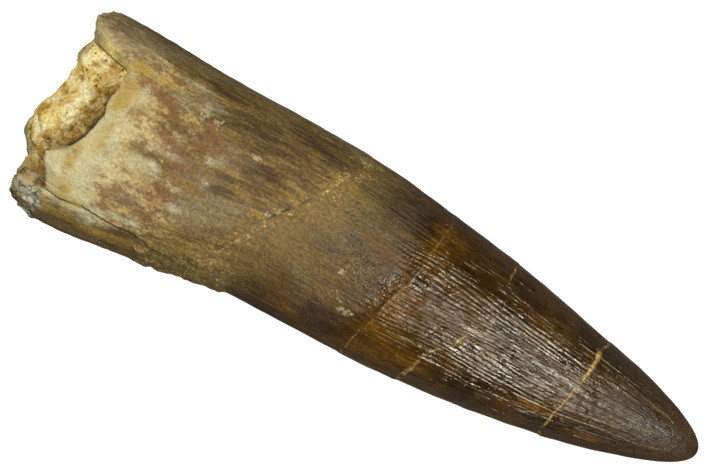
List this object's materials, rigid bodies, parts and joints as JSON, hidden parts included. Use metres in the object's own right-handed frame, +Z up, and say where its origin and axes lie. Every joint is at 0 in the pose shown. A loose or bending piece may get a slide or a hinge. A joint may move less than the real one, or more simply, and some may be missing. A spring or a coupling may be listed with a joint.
{
  "type": "fossil plesiosaur tooth",
  "caption": "Fossil marine reptile tooth: a curved, ridged, pointed crown on a broken root filled with sandy sediment; lies flat as a display or study specimen.",
  "frame": {"origin": "on the resting surface, under the middle of the tooth's bounding box", "axes": "+X along the tooth from the broken root to the tip; +Z up from the resting surface; +Y to the left when looking along +X"},
  "size_m": [0.0518, 0.0154, 0.0123],
  "materials": {
    "tooth": "glossy brown ridged enamel on the crown, passing to satin, bleached cream and grey-brown dentine on the root",
    "sediment": "matt, sandy, cream and rusty ochre"
  },
  "bodies": {
    "root": {"tooth": "tooth", "sediment_fill": "sediment"}
  },
  "joints": []
}
